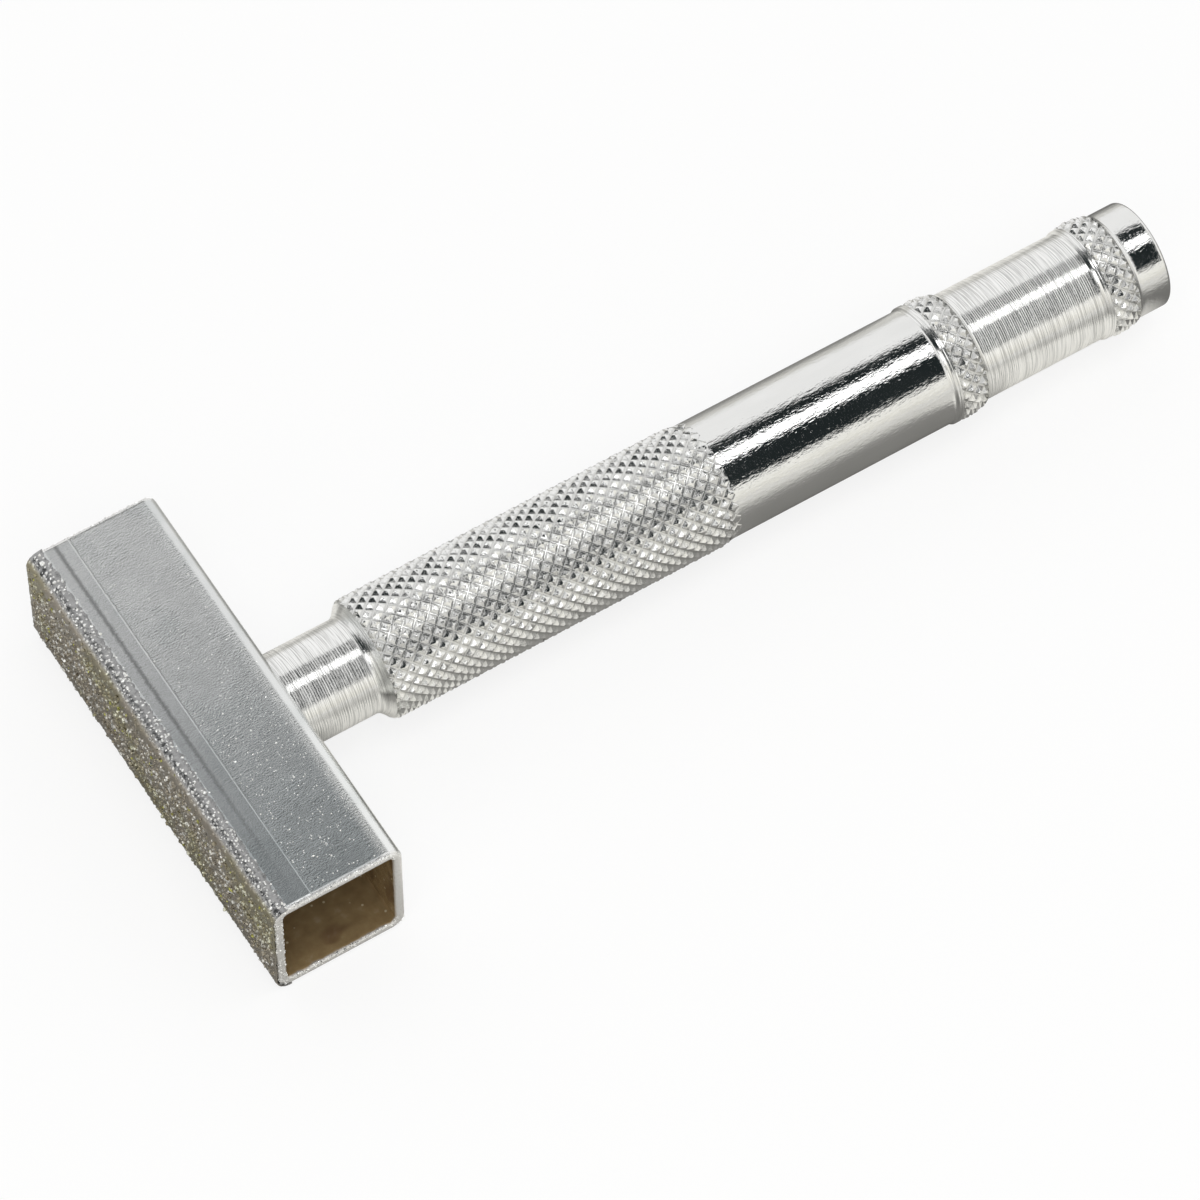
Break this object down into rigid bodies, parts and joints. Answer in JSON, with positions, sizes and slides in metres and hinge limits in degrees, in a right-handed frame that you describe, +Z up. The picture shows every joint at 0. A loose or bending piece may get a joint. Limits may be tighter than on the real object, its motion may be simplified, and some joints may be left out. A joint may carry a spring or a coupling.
{
  "type": "diamond wheel dresser",
  "caption": "T-shaped diamond wheel dresser: an open square steel tube with a diamond grit front face, on a turned handle with a knurled grip, polished shank and knurled rings.",
  "frame": {"origin": "under the middle of the tool's length, on the surface that it lies on", "axes": "+X along the handle towards its tail, Y along the head, +Z up from the surface that it lies on"},
  "size_m": [0.11, 0.045, 0.0138],
  "materials": {
    "tube_steel": "satin nickel plate, finely mottled",
    "diamond_grit": "coarse diamond grains in plated nickel",
    "handle_chrome": "bright plate, polished on the shank, turned and knurled elsewhere"
  },
  "bodies": {
    "root": {"head_tube": "tube_steel", "diamond_coating": "diamond_grit", "handle": "handle_chrome"}
  },
  "joints": []
}
